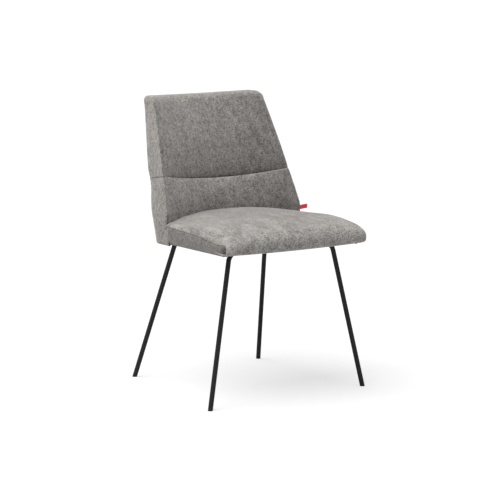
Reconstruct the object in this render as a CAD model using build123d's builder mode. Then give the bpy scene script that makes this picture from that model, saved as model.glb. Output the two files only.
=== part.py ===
from build123d import *
import os
from math import radians, tan

# An upholstered dining chair. A padded seat on a plywood base is wrapped at the
# rear by a moulded back with two wings, and stands on two leg frames bent from
# round steel tube. The floor is z = 0, the front faces -Y, and the origin lies
# on the floor under the middle of the whole chair. Sizes are in millimetres.

# Overall sizes
overall_depth = 562.0        # seat nose to the rear of the back, just under its top
overall_height = 848.0       # floor to the top of the back
rim_height = 431.5           # floor to the lower rim of the seat and back
seat_width = 470.0           # across the seat's side panels

# Covers and base
cover_thickness = 2.0        # fabric with its backing
cover_gap = 0.3              # between covers, foam and whatever they meet
base_thickness = 12.0        # plywood seat base
base_recess = 10.0           # rim up to the underside of the base
base_margin = 16.0           # seat side in to the edge of the base
base_corner_radius = 20.0
base_fit = 0.5               # air around the base's edge
underside_thickness = 0.8    # dust cloth under the base

# Seat padding
nose_bulge = 30.0            # how far the nose stands ahead of the front rim
nose_height = 24.0           # front rim up to the foremost point of the nose
front_shoulder = 46.0        # nose back to where the top begins, in the middle
shoulder_closing = 0.6       # share of a station's drop by which that distance shrinks
shoulder_drop = 0.85         # share of a station's drop that its shoulder takes
nose_drop = 0.08             # and that its nose takes
front_crown = 66.0           # rim up to the middle of the seat's front shoulder
rear_crown = 86.0            # rim up to the middle of the seat at the back
top_arch = 4.0               # bow of the seat's top between nose and back
# Cross-sections from the middle out: (share of the half width, drop, set-back)
seat_stations = [(0.0, 0.0, 0.0), (0.55, 1.0, 0.0), (0.86, 6.0, 1.0), (0.955, 17.0, 5.0), (1.0, 37.0, 13.0)]

# Back
rear_lean = 17.3             # rear face of the back from upright, degrees
back_bulge = 34.5            # how far the rear face bows out between its corners
top_round = 20.0             # rounding of the top edge
wing_proud_rim = 3.0         # how far each wing stands out past the seat's side at the rim
wing_proud_crown = 1.0       # and at the seat's crown
top_half_width = 187.0
wing_depth_low = 102.0       # rear corner forward to the wing's edge, at the seat's crown
wing_depth_high = 62.0       # and at the top
wing_toe = 20.0              # how far the wing's foot reaches forward at the rim
wing_edge_width = 12.0
wing_edge_rise = 5.0         # how far the edge's outer side lies behind its inner side
wing_edge_flare = 0.8        # share of the face's mean slope that the edge's inner side takes
middle_depth_low = 93.0      # thickness of the back in the middle, at the seat's crown
middle_depth_seam = 85.0
middle_depth_high = 46.0
seam_rise = 170.0            # rim up to the middle of the back's cross seam
seam_smile = 27.0            # how much higher the seam is at the outer sides
shell_thickness = 8.0
shell_setback = 8.0          # wing's edge back to the shell's edge
wadding_thickness = 6.0      # between the shell and the rear cover

# Leg frames
tube_diameter = 14.0
tube_wall = 2.0
bend_radius = 30.0           # on the tube's centre line
glide_height = 5.0           # floor up to the tube's end, along the leg
glide_plug_length = 18.0
glide_clearance = 0.1
front_foot_spread = 533.0    # between foot centres
front_bar_spread = 353.4     # between the corners of the bends
front_bar_setback = 92.9     # seat nose back to the front cross bar
front_rake = 37.2            # foot ahead of the front cross bar
rear_foot_spread = 452.0
rear_bar_spread = 318.2
rear_bar_inset = 37.0        # rear rim forward to the rear cross bar
rear_rake = 137.2            # foot behind the rear cross bar

# Mounting rails and fasteners
rail_width = 30.0
rail_corner_radius = 5.0
rail_thickness = 3.0
rail_spread = 220.0          # between the rails' centre lines
rail_overhang = 14.0         # past the centre of each cross bar
bolt_inset = 34.0            # cross bar in to the nearer bolt
bolt_diameter = 6.0
bolt_clearance = 0.6
thread_clearance = 0.1
bolt_length = 16.0
bolt_head_diameter = 10.5
bolt_head_height = 3.3
bolt_head_taper = 22.0       # degrees
bolt_socket_radius = 2.0     # to the corners of the hexagon
bolt_socket_depth = 2.0
washer_diameter = 16.0
washer_thickness = 1.6
tee_nut_flange = 19.0
tee_nut_flange_thickness = 1.5
tee_nut_barrel = 7.8
tee_nut_length = 9.0
weld_leg = 5.0               # bar's centre line out to the weld's heel
weld_toe = 6.5               # and to its toe on the rail
weld_end = 2.0               # rail's edge in to the end of a weld
bracket_width = 40.0
bracket_thickness = 3.0
bracket_spread = 150.0       # between the two brackets' middles
bracket_foot_length = 42.0
bracket_upright = 62.0       # top of the base up to the bracket's upper edge
bracket_bolt_rise = 42.0     # top of the base up to the upper bolt
bracket_bolt_pitch = 22.0
bracket_screw_diameter = 4.5
bracket_screw_length = 11.0
bracket_screw_pitch = 22.0
bracket_screw_head = 9.0
bracket_screw_head_height = 2.2
bracket_screw_setback = 30.0  # base's rear edge forward to the screws
bracket_air = 3.0             # padding cut back around the brackets
staple_crown = 10.0
staple_wire = 0.7
staple_leg = 5.0
staple_margin = 7.0          # edge of the base in to the staples
staple_pitch = 48.0

# Label tab
tab_length = 24.0
tab_height = 13.0
tab_thickness = 1.2
tab_rise = 67.0              # rim up to the tab's lower edge
tab_swing = 48.0             # outward from straight ahead, degrees

# Places that follow from the sizes above
nose_y = -overall_depth / 2
base_bottom = rim_height + base_recess
base_top = base_bottom + base_thickness
rail_top = base_bottom - underside_thickness
rail_bottom = rail_top - rail_thickness
bar_z = rail_bottom - tube_diameter / 2
crown_z = rim_height + rear_crown
seam_z = rim_height + seam_rise
rim_half_width = seat_width / 2 + wing_proud_rim
crown_half_width = seat_width / 2 + wing_proud_crown
wide = seat_width + overall_depth
lean_slope = tan(radians(rear_lean))
SIDES = {"left": -1, "right": 1}
# Rows of the rounded top edge: (share of its height, share of it moved in)
TOP_ROUNDING = [(0.55, 0.14), (0.86, 0.46), (1.0, 0.8)]


def ramp(z, table):
    """Straight-line value between (height, value) rows, held level past the ends."""
    if z <= table[0][0]:
        return table[0][1]
    for (low, a), (high, b) in zip(table, table[1:]):
        if z <= high:
            return a + (b - a) * (z - low) / (high - low)
    return table[-1][1]


def rear_middle(z):
    return overall_depth / 2 - (overall_height - top_round - z) * lean_slope


def rear_corner(z):
    return rear_middle(z) - back_bulge


def back_half_width(z):
    rows = [(rim_height, rim_half_width), (crown_z, crown_half_width)]
    return ramp(z, rows + [(overall_height, top_half_width)])


def wing_edge(z):
    upright = rear_corner(crown_z) - wing_depth_low
    if z < crown_z:
        rows = [(rim_height, wing_toe), (rim_height + base_recess, wing_toe / 2)]
        return upright - ramp(z, rows + [(rim_height + 3 * base_recess, 0.0)])
    depth = ramp(z, [(crown_z, wing_depth_low), (overall_height, wing_depth_high)])
    return rear_corner(z) - depth


def front_middle(z):
    rows = [(crown_z, middle_depth_low), (seam_z, middle_depth_seam)]
    depth = ramp(z, rows + [(overall_height, middle_depth_high)])
    return rear_middle(max(z, crown_z)) - depth


rear_bar_y = rear_middle(rim_height) - rear_bar_inset
front_bar_y = nose_y + front_bar_setback
base_front = nose_y + nose_bulge + base_margin
base_half_width = seat_width / 2 - base_margin
shell_inset = cover_thickness + wadding_thickness
shell_front = shell_inset + shell_thickness
base_rear = rear_middle(base_bottom) - shell_front - base_fit
base_rear_corner = rear_corner(base_bottom) - shell_front - base_fit
bolt_rows = [front_bar_y + bolt_inset, rear_bar_y - bolt_inset]
bolt_places = [(side * rail_spread / 2, y) for side in SIDES.values() for y in bolt_rows]


# ---- Shapes that several pieces are cut from ----------------------------------

def seat_block(inset):
    """The seat's outer form moved in by inset: a loft of side profiles across X."""
    half = seat_width / 2 - inset
    rear = rear_middle(crown_z)
    stations = [(-s, drop, back) for s, drop, back in reversed(seat_stations[1:])] + seat_stations
    with BuildPart() as block:
        for share, drop, set_back in stations:
            nose = nose_y + set_back + inset
            low = rim_height + inset
            front_low = (nose_y + nose_bulge + inset, low)
            nose_point = (nose, rim_height + nose_height - drop * nose_drop)
            reach = front_shoulder - drop * shoulder_closing
            shoulder = (nose + reach, rim_height + front_crown - drop * shoulder_drop - inset)
            top_rear = (rear, crown_z - drop - inset)
            top_middle = ((shoulder[0] + rear) / 2, (shoulder[1] + top_rear[1]) / 2 + top_arch)
            with BuildSketch(Plane.YZ.offset(share * half)):
                with BuildLine():
                    ThreePointArc(front_low, nose_point, shoulder)
                    ThreePointArc(shoulder, top_middle, top_rear)
                    Polyline(top_rear, (rear, low), front_low)
                make_face()
        loft()
    return block.part


def back_outline(z, front_in, rear_in):
    """Plan section of the back: concave front, two wing edges, bowed rear."""
    half = back_half_width(z) - rear_in
    edge_y = wing_edge(z) + front_in
    concave = (front_middle(z) - wing_edge(z)) / back_half_width(z)
    pulled_in = max(rear_in, 0)
    inner_y = edge_y + concave * (pulled_in + wing_edge_width) * wing_edge_flare
    inner = (half - wing_edge_width, inner_y)
    outer = (half, edge_y + wing_edge_rise + concave * pulled_in)
    corner = (half, rear_corner(z) - rear_in)
    with BuildSketch(Plane.XY.offset(z)) as outline:
        with BuildLine():
            ThreePointArc((-inner[0], inner[1]), (0, front_middle(z) + front_in), inner)
            Polyline(inner, outer, corner)
            ThreePointArc(corner, (0, rear_middle(z) - rear_in), (-corner[0], corner[1]))
            Polyline((-corner[0], corner[1]), (-outer[0], outer[1]), (-inner[0], inner[1]))
        make_face()
    return outline.sketch


def back_block(front_in, rear_in, low, high, rounded=True):
    """The back's outer form moved in by separate amounts at front and rear."""
    shoulder = overall_height - top_round
    bends = [rim_height, base_bottom, rim_height + 3 * base_recess, crown_z]
    bends += [seam_z, (seam_z + shoulder) / 2, shoulder]
    levels = [low] + [z for z in bends if z > low]
    with BuildPart() as block:
        for z in levels:
            add(back_outline(z, front_in, rear_in))
        for rise, pull_in in TOP_ROUNDING if rounded else [(1.0, 0.0)]:
            z = shoulder + rise * (high - shoulder)
            add(back_outline(z, front_in + pull_in * top_round, rear_in + pull_in * top_round))
        loft(ruled=True)
    return block.part


def back_core(rear_in):
    """Everything ahead of a surface that lies rear_in inside the back's rear and sides."""
    return back_block(-wing_depth_low, rear_in, rim_height - top_round, overall_height + top_round, False)


def base_outline(margin):
    """The seat base's plan, let out by margin: straight sides, bowed rear edge."""
    half = base_half_width + margin
    front = base_front - margin
    corner = (half, base_rear_corner + margin)
    with BuildSketch() as outline:
        with BuildLine():
            Polyline((-corner[0], corner[1]), (-half, front), (half, front), corner)
            ThreePointArc(corner, (0, base_rear + margin), (-corner[0], corner[1]))
        make_face()
        fillet(outline.vertices().group_by(Axis.Y)[0], radius=base_corner_radius)
        fillet(outline.vertices().group_by(Axis.Y)[-1], radius=base_corner_radius / 2)
    return outline.sketch


# Space kept clear for the base, from below the rim to the top of the base
with BuildPart() as base_pocket:
    with BuildSketch(Plane.XY.offset(rim_height - base_recess)):
        add(base_outline(base_fit))
    extrude(amount=base_top - rim_height + base_recess + cover_gap)

# Everything above the back's cross seam, which rises towards the sides
with BuildPart() as above_seam:
    with BuildSketch(Plane.XZ) as seam_face:
        with BuildLine():
            end = (rim_half_width, seam_z + seam_smile)
            start = (-rim_half_width, seam_z + seam_smile)
            ThreePointArc(start, (0, seam_z), end)
            Polyline(end, (wide, end[1]), (wide, 2 * overall_height))
            Polyline((wide, 2 * overall_height), (-wide, 2 * overall_height), (-wide, end[1]), start)
        make_face()
    extrude(amount=wide, both=True)

# Everything behind the line of the back's rear corners
with BuildPart() as behind_corners:
    with BuildSketch(Plane.YZ):
        tall = 2 * overall_height
        foot = (rear_corner(0) - cover_thickness, 0)
        top = (rear_corner(tall) - cover_thickness, tall)
        Polygon(foot, top, (top[0] + wide, tall), (top[0] + wide, 0), align=None)
    extrude(amount=wide, both=True)


def beside_wing(side):
    """Everything outside the seam that runs up a wing's front edge."""
    with BuildPart() as zone:
        with BuildSketch(Plane.XZ):
            seam_in = 2 * cover_thickness
            levels = (0, rim_height, crown_z, overall_height)
            line = [(side * (back_half_width(z) - seam_in), z) for z in levels]
            Polygon(*line, (side * wide, overall_height), (side * wide, 0), align=None)
        extrude(amount=wide, both=True)
    return zone.part


back_outside = back_block(0, 0, rim_height, overall_height)
inside_low, inside_high = rim_height + cover_thickness, overall_height - cover_thickness
back_inside = back_block(cover_thickness, cover_thickness, inside_low, inside_high)
back_clear = back_block(-cover_gap, -cover_gap, rim_height - top_round, overall_height)
seat_outside = seat_block(0)
seat_inside = seat_block(cover_thickness)


# ---- Leg frames and their glides ------------------------------------------------

def leg_points(foot_spread, bar_spread, foot_y, bar_y, side):
    """Where a leg's centre line meets the floor, and the corner of its bend."""
    return Vector(side * foot_spread / 2, foot_y, 0), Vector(side * bar_spread / 2, bar_y, bar_z)


FRAMES = {
    "front": (front_foot_spread, front_bar_spread, front_bar_y - front_rake, front_bar_y),
    "rear": (rear_foot_spread, rear_bar_spread, rear_bar_y + rear_rake, rear_bar_y),
}


def leg_frame(sizes):
    """One tube, bent into an upside-down U and cut square at both ends."""
    left_foot, left_bend = leg_points(*sizes, -1)
    right_foot, right_bend = leg_points(*sizes, 1)
    left_end = left_foot + (left_bend - left_foot).normalized() * glide_height
    right_end = right_foot + (right_bend - right_foot).normalized() * glide_height
    with BuildPart() as frame:
        with BuildLine() as route:
            FilletPolyline(left_end, left_bend, right_bend, right_end, radius=bend_radius)
        with BuildSketch(Plane(route.line @ 0, z_dir=route.line % 0)):
            Circle(tube_diameter / 2)
            Circle(tube_diameter / 2 - tube_wall, mode=Mode.SUBTRACT)
        sweep()
    return frame.part


def foot_glide(foot, bend):
    """Plastic plug with a cap, cut level where it stands on the floor."""
    axis = (bend - foot).normalized()
    tube_end = Plane(foot + axis * glide_height, z_dir=axis)
    with BuildPart() as glide:
        with BuildSketch(tube_end):
            Circle(tube_diameter / 2)
        extrude(amount=-glide_height - tube_diameter)
        with BuildSketch(tube_end):
            Circle(tube_diameter / 2 - tube_wall - glide_clearance)
        extrude(amount=glide_plug_length)
        split(bisect_by=Plane.XY, keep=Keep.TOP)
    return glide.part


pieces = {}
for end_name, sizes in FRAMES.items():
    pieces[end_name + "_leg_frame"] = leg_frame(sizes)
    for side_name, side in SIDES.items():
        pieces[f"glide_{end_name}_{side_name}"] = foot_glide(*leg_points(*sizes, side))

# ---- Mounting rails, welds and the bolts through them ---------------------------

for side_name, side in SIDES.items():
    with BuildPart() as rail:
        middle = (side * rail_spread / 2, (front_bar_y + rear_bar_y) / 2)
        rail_length = rear_bar_y - front_bar_y + 2 * rail_overhang
        with BuildSketch(Plane.XY.offset(rail_bottom)):
            with Locations(middle):
                RectangleRounded(rail_width, rail_length, rail_corner_radius)
            with Locations(*[(x, y) for x, y in bolt_places if x * side > 0]):
                Circle((bolt_diameter + bolt_clearance) / 2, mode=Mode.SUBTRACT)
        extrude(amount=rail_thickness)
    pieces["rail_" + side_name] = rail.part

with BuildPart() as weld_beads:
    for bar_y in (front_bar_y, rear_bar_y):
        for side in SIDES.values():
            start_x = side * rail_spread / 2 - rail_width / 2 + weld_end
            with BuildSketch(Plane.YZ.offset(start_x)):
                for way in (-1, 1):
                    with BuildLine():
                        toe = (bar_y + way * weld_toe, rail_bottom)
                        heel = (bar_y + way * weld_leg, bar_z + tube_diameter / 3)
                        Polyline((bar_y + way * weld_end, rail_bottom), toe, heel, close=True)
                    make_face()
                with Locations((bar_y, bar_z)):
                    Circle(tube_diameter / 2, mode=Mode.SUBTRACT)
            extrude(amount=rail_width - 2 * weld_end)
pieces["weld_beads"] = weld_beads.part

with BuildPart() as frame_washers:
    with BuildSketch(Plane.XY.offset(rail_bottom)):
        with Locations(*bolt_places):
            Circle(washer_diameter / 2)
            Circle((bolt_diameter + bolt_clearance) / 2, mode=Mode.SUBTRACT)
    extrude(amount=-washer_thickness)
pieces["frame_washers"] = frame_washers.part

head_seat = rail_bottom - washer_thickness
with BuildPart() as frame_bolts:
    with BuildSketch(Plane.XY.offset(head_seat)):
        with Locations(*bolt_places):
            Circle(bolt_diameter / 2)
    extrude(amount=bolt_length)
    with BuildSketch(Plane.XY.offset(head_seat)):
        with Locations(*bolt_places):
            Circle(bolt_head_diameter / 2)
    extrude(amount=-bolt_head_height, taper=bolt_head_taper)
    with BuildSketch(Plane.XY.offset(head_seat - bolt_head_height)):
        with Locations(*bolt_places):
            RegularPolygon(radius=bolt_socket_radius, side_count=6)
    extrude(amount=bolt_socket_depth, mode=Mode.SUBTRACT)
pieces["frame_bolts"] = frame_bolts.part

with BuildPart() as tee_nuts:
    with BuildSketch(Plane.XY.offset(base_top)):
        with Locations(*bolt_places):
            Circle(tee_nut_flange / 2)
    extrude(amount=-tee_nut_flange_thickness)
    with BuildSketch(Plane.XY.offset(base_top)):
        with Locations(*bolt_places):
            Circle(tee_nut_barrel / 2)
    extrude(amount=-tee_nut_length)
    with BuildSketch(Plane.XY.offset(base_top)):
        with Locations(*bolt_places):
            Circle((bolt_diameter + thread_clearance) / 2)
    extrude(amount=-tee_nut_length, mode=Mode.SUBTRACT)
pieces["tee_nuts"] = tee_nuts.part

# ---- Seat base, its cloth and staples --------------------------------------------

with BuildPart() as underside_cloth:
    with BuildSketch(Plane.XY.offset(rail_top)):
        add(base_outline(0))
        with Locations(*bolt_places):
            Circle((bolt_diameter + bolt_clearance) / 2, mode=Mode.SUBTRACT)
    extrude(amount=underside_thickness)

with BuildPart() as staples:
    staple_line = base_outline(-staple_margin).faces()[0].outer_wire()
    staple_count = round(staple_line.length / staple_pitch)
    for index in range(staple_count):
        share = (index + 0.5) / staple_count
        place = staple_line @ share
        off_rail = abs(abs(place.X) - rail_spread / 2)
        if place.Y > rear_bar_y and off_rail < (rail_width + staple_crown) / 2 + staple_wire:
            continue
        heading = staple_line % share
        crown_plane = Plane((place.X, place.Y, rail_top), x_dir=heading, z_dir=(0, 0, -1))
        with BuildSketch(crown_plane):
            Rectangle(staple_crown, staple_wire)
        extrude(amount=staple_wire)
        with BuildSketch(crown_plane):
            with GridLocations(staple_crown - staple_wire, 0, 2, 1):
                Rectangle(staple_wire, staple_wire)
        extrude(amount=-staple_leg)
pieces["staples"] = staples.part

with BuildPart() as dust_cloth:
    add(underside_cloth.part)
    add(staples.part, mode=Mode.SUBTRACT)
pieces["dust_cloth"] = dust_cloth.part

bracket_middles = [side * bracket_spread / 2 for side in SIDES.values()]
screw_places = []
for middle in bracket_middles:
    screw_y = base_rear - bracket_screw_setback
    for way in (-1, 1):
        screw_places.append((middle + way * bracket_screw_pitch / 2, screw_y))

with BuildPart() as bracket_screws:
    with BuildSketch(Plane.XY.offset(base_top + bracket_thickness)):
        with Locations(*screw_places):
            Circle(bracket_screw_head / 2)
    extrude(amount=bracket_screw_head_height, taper=bolt_head_taper)
    with BuildSketch(Plane.XY.offset(base_top + bracket_thickness)):
        with Locations(*screw_places):
            Circle(bracket_screw_diameter / 2)
    extrude(amount=-bracket_thickness - bracket_screw_length)
pieces["bracket_screws"] = bracket_screws.part

with BuildPart() as seat_base:
    with BuildSketch(Plane.XY.offset(base_bottom)):
        add(base_outline(0))
    extrude(amount=base_thickness)
    with Locations(*[(x, y, base_top) for x, y in bolt_places]):
        CounterBoreHole(tee_nut_barrel / 2, tee_nut_flange / 2, tee_nut_flange_thickness)
    add(bracket_screws.part, mode=Mode.SUBTRACT)
    add(staples.part, mode=Mode.SUBTRACT)
pieces["seat_base"] = seat_base.part

# ---- Back shell and the brackets that tie it to the base --------------------------

shell_high = overall_height - shell_inset - shell_setback


def bracket_bolt_planes():
    """Planes square to the shell's front, one at each bracket bolt."""
    planes = []
    for middle in bracket_middles:
        for row in (0, 1):
            z = base_top + bracket_bolt_rise - row * bracket_bolt_pitch
            bow = back_bulge / (back_half_width(z) - shell_front) ** 2
            y = rear_middle(z) - shell_front - bow * middle ** 2
            outward = (-2 * bow * middle, -1, lean_slope)
            planes.append(Plane((middle, y, z), x_dir=(1, -outward[0], 0), z_dir=outward))
    return planes


with BuildPart() as bracket_bolts:
    for plane in bracket_bolt_planes():
        with BuildSketch(plane.offset(bracket_thickness + cover_gap)):
            Circle(bolt_head_diameter / 2)
        extrude(amount=bolt_head_height, taper=bolt_head_taper)
        with BuildSketch(plane.offset(bracket_thickness + cover_gap)):
            Circle(bolt_diameter / 2)
        extrude(amount=-bracket_thickness - shell_thickness)
pieces["bracket_bolts"] = bracket_bolts.part

with BuildPart() as bolt_paths:
    for plane in bracket_bolt_planes():
        with BuildSketch(plane.offset(bracket_thickness + cover_gap)):
            Circle((bolt_diameter + thread_clearance) / 2)
        extrude(amount=-2 * shell_front)

with BuildPart() as back_shell:
    add(back_block(shell_setback, shell_inset, base_bottom, shell_high, rounded=False))
    add(back_core(shell_front), mode=Mode.SUBTRACT)
    add(bolt_paths.part, mode=Mode.SUBTRACT)
pieces["back_shell"] = back_shell.part

bracket_face = back_core(shell_front + cover_gap)
bracket_front = back_core(shell_front + cover_gap + bracket_thickness)
for (side_name, side), middle in zip(SIDES.items(), bracket_middles):
    with BuildPart() as upright:
        with BuildSketch(Plane.XY.offset(base_top)):
            with Locations((middle, base_rear)):
                Rectangle(bracket_width, 4 * shell_front)
        extrude(amount=bracket_upright)
        add(bracket_face, mode=Mode.INTERSECT)
        add(bracket_front, mode=Mode.SUBTRACT)
    with BuildPart() as bracket:
        with BuildSketch(Plane.XY.offset(base_top)):
            with Locations((middle, base_rear + (shell_thickness - bracket_foot_length) / 2)):
                Rectangle(bracket_width, bracket_foot_length + shell_thickness)
        extrude(amount=bracket_thickness)
        add(bracket_face, mode=Mode.INTERSECT)
        add(upright.part)
        add(bracket_screws.part, mode=Mode.SUBTRACT)
        add(bolt_paths.part, mode=Mode.SUBTRACT)
    pieces["back_bracket_" + side_name] = bracket.part

# ---- Foam ------------------------------------------------------------------------

# Room in the padding around each bracket and its fasteners
with BuildPart() as bracket_room:
    room_width = bracket_width + 2 * bracket_air
    with BuildSketch(Plane.XY.offset(base_top)):
        for middle in bracket_middles:
            with Locations((middle, base_rear)):
                Rectangle(room_width, 2 * (bracket_foot_length + bracket_air))
    extrude(amount=bracket_thickness + bracket_screw_head_height + bracket_air)
    for middle in bracket_middles:
        front_low = base_rear - bracket_thickness - bolt_head_height - 3 * bracket_air
        rise = bracket_upright + bracket_air
        front_high = front_low + (rise + bracket_air) * lean_slope
        rear = front_high + 4 * shell_front
        with BuildSketch(Plane.YZ.offset(middle)):
            with BuildLine():
                low_corners = (rear, base_top), (front_low, base_top)
                Polyline(*low_corners, (front_high, base_top + rise), (rear, base_top + rise), close=True)
            make_face()
        extrude(amount=room_width / 2, both=True)

with BuildPart() as seat_foam:
    add(seat_inside)
    add(back_clear, mode=Mode.SUBTRACT)
    add(base_pocket.part, mode=Mode.SUBTRACT)
    add(behind_corners.part, mode=Mode.SUBTRACT)
    add(bracket_room.part, mode=Mode.SUBTRACT)
pieces["seat_foam"] = seat_foam.part

with BuildPart() as foam_body:
    add(back_inside)
    add(bracket_face, mode=Mode.INTERSECT)

with BuildPart() as back_foam_upper:
    add(foam_body.part)
    add(above_seam.part, mode=Mode.INTERSECT)
pieces["back_foam_upper"] = back_foam_upper.part

with BuildPart() as back_foam_lower:
    add(foam_body.part)
    add(above_seam.part, mode=Mode.SUBTRACT)
    add(base_pocket.part, mode=Mode.SUBTRACT)
    add(bracket_room.part, mode=Mode.SUBTRACT)
pieces["back_foam_lower"] = back_foam_lower.part

with BuildPart() as rear_wadding:
    add(back_inside)
    add(back_core(shell_inset - cover_gap), mode=Mode.SUBTRACT)
    add(base_pocket.part, mode=Mode.SUBTRACT)
pieces["rear_wadding"] = rear_wadding.part

# ---- Covers ----------------------------------------------------------------------

with BuildPart() as seat_skin:
    add(seat_outside)
    add(seat_inside, mode=Mode.SUBTRACT)
    add(back_clear, mode=Mode.SUBTRACT)
    add(base_pocket.part, mode=Mode.SUBTRACT)
    add(behind_corners.part, mode=Mode.SUBTRACT)
    add(bracket_room.part, mode=Mode.SUBTRACT)

for side_name, side in SIDES.items():
    gusset_plane = Plane.YZ.offset(side * (seat_width / 2 - cover_thickness))
    with BuildPart() as gusset:
        add(seat_skin.part)
        split(bisect_by=gusset_plane, keep=Keep.TOP if side > 0 else Keep.BOTTOM)
    pieces["seat_side_" + side_name] = gusset.part

with BuildPart() as seat_top_cover:
    add(seat_skin.part)
    split(bisect_by=Plane.YZ.offset(seat_width / 2 - cover_thickness), keep=Keep.BOTTOM)
    split(bisect_by=Plane.YZ.offset(cover_thickness - seat_width / 2), keep=Keep.TOP)
pieces["seat_top_cover"] = seat_top_cover.part

with BuildPart() as back_skin:
    add(back_outside)
    add(back_inside, mode=Mode.SUBTRACT)
    add(base_pocket.part, mode=Mode.SUBTRACT)

with BuildPart() as back_rear_cover:
    add(back_skin.part)
    add(behind_corners.part, mode=Mode.INTERSECT)
pieces["back_rear_cover"] = back_rear_cover.part

with BuildPart() as back_upper_cover:
    add(back_skin.part)
    add(above_seam.part, mode=Mode.INTERSECT)
    add(behind_corners.part, mode=Mode.SUBTRACT)
pieces["back_upper_cover"] = back_upper_cover.part

with BuildPart() as back_lower_cover:
    add(back_skin.part)
    add(above_seam.part, mode=Mode.SUBTRACT)
    add(behind_corners.part, mode=Mode.SUBTRACT)
    for side in SIDES.values():
        add(beside_wing(side), mode=Mode.SUBTRACT)
pieces["back_lower_cover"] = back_lower_cover.part

for side_name, side in SIDES.items():
    with BuildPart() as wing_cover:
        add(back_skin.part)
        add(above_seam.part, mode=Mode.SUBTRACT)
        add(behind_corners.part, mode=Mode.SUBTRACT)
        add(beside_wing(side), mode=Mode.INTERSECT)
    pieces["wing_cover_" + side_name] = wing_cover.part

# ---- Label tab -------------------------------------------------------------------

tab_y = wing_edge(crown_z) - cover_gap
with BuildPart() as label_tab:
    tab_root = Plane((seat_width / 2 + tab_thickness, tab_y, rim_height + tab_rise))
    with BuildSketch(tab_root.rotated((0, 0, tab_swing - 90))):
        with Locations((tab_length / 2, 0)):
            Rectangle(tab_length, tab_thickness)
    extrude(amount=tab_height)
pieces["label_tab"] = label_tab.part

# ---- Write one file for each piece ------------------------------------------------

os.makedirs("parts", exist_ok=True)
for name, piece in pieces.items():
    piece.label = name
    export_step(piece, f"parts/{name}.step")
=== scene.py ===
import math

import bmesh
import bpy
import numpy as np
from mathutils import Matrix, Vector, noise


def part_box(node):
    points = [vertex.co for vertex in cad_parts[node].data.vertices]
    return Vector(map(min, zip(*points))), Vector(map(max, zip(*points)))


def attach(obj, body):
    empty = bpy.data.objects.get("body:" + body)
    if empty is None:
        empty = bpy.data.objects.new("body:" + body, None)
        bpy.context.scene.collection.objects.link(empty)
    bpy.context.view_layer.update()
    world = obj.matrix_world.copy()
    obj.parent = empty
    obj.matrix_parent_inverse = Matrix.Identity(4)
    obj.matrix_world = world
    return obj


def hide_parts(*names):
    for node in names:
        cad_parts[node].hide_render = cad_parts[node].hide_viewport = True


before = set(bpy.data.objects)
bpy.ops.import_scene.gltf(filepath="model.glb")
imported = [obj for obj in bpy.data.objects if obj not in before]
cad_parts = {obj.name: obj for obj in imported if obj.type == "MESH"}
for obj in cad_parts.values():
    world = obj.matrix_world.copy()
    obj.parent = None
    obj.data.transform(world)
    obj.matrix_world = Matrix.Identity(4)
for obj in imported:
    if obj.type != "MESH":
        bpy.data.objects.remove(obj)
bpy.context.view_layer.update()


def add_node(tree, kind, inputs=None, **settings):
    made = tree.nodes.new(kind)
    for key, value in settings.items():
        setattr(made, key, value)
    for key, value in (inputs or {}).items():
        if isinstance(value, bpy.types.NodeSocket):
            tree.links.new(value, made.inputs[key])
        else:
            made.inputs[key].default_value = value
    return made


def effect_group(name, takes, gives):
    tree = bpy.data.node_groups.new(name, "ShaderNodeTree")
    for label, kind, value in takes:
        socket = tree.interface.new_socket(label, in_out="INPUT", socket_type=kind)
        if value is not None:
            socket.default_value = value
    for label, kind in gives:
        tree.interface.new_socket(label, in_out="OUTPUT", socket_type=kind)
    return tree, tree.nodes.new("NodeGroupInput"), tree.nodes.new("NodeGroupOutput")


def place_group(tree, group, values, where):
    made = add_node(tree, "ShaderNodeGroup", node_tree=group)
    for key, value in values.items():
        made.inputs[key].default_value = value
    tree.links.new(where, made.inputs["Vector"])
    return made


def new_material(name, finish):
    material = bpy.data.materials.new(name)
    material.use_nodes = True
    tree = material.node_tree
    shader = tree.nodes["Principled BSDF"]
    for key, value in finish.items():
        shader.inputs[key].default_value = value
    place = tree.nodes.new("ShaderNodeTexCoord").outputs["Object"]
    return material, tree, shader, place


def raise_surface(tree, shader, height, strength, distance):
    bump = add_node(tree, "ShaderNodeBump", {"Height": height, "Strength": strength, "Distance": distance})
    tree.links.new(bump.outputs["Normal"], shader.inputs["Normal"])


def dress(node, material):
    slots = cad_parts[node].data.materials
    if slots:
        slots[0] = material
    else:
        slots.append(material)


coat_group, coat_in, coat_out = effect_group(
    "Coated surface",
    [("Vector", "NodeSocketVector", None), ("Base", "NodeSocketColor", (0.02, 0.02, 0.02, 1)),
     ("Peel Scale", "NodeSocketFloat", 900.0), ("Speck Scale", "NodeSocketFloat", 3000.0),
     ("Tone Change", "NodeSocketFloat", 0.2), ("Roughness", "NodeSocketFloat", 0.4),
     ("Roughness Change", "NodeSocketFloat", 0.12)],
    [("Color", "NodeSocketColor"), ("Roughness", "NodeSocketFloat"), ("Height", "NodeSocketFloat")])
peel = add_node(coat_group, "ShaderNodeTexNoise",
                {"Vector": coat_in.outputs["Vector"], "Scale": coat_in.outputs["Peel Scale"], "Detail": 2.0})
speck = add_node(coat_group, "ShaderNodeTexNoise",
                 {"Vector": coat_in.outputs["Vector"], "Scale": coat_in.outputs["Speck Scale"], "Detail": 1.0})
smear = add_node(coat_group, "ShaderNodeTexNoise",
                 {"Vector": coat_in.outputs["Vector"], "Scale": 24.0, "Detail": 4.0, "Roughness": 0.6})
tone = add_node(coat_group, "ShaderNodeMath", {0: smear.outputs["Fac"], 1: 0.5}, operation="SUBTRACT")
tone = add_node(coat_group, "ShaderNodeMath",
                {0: tone.outputs[0], 1: coat_in.outputs["Tone Change"], 2: 1.0}, operation="MULTIPLY_ADD")
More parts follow.
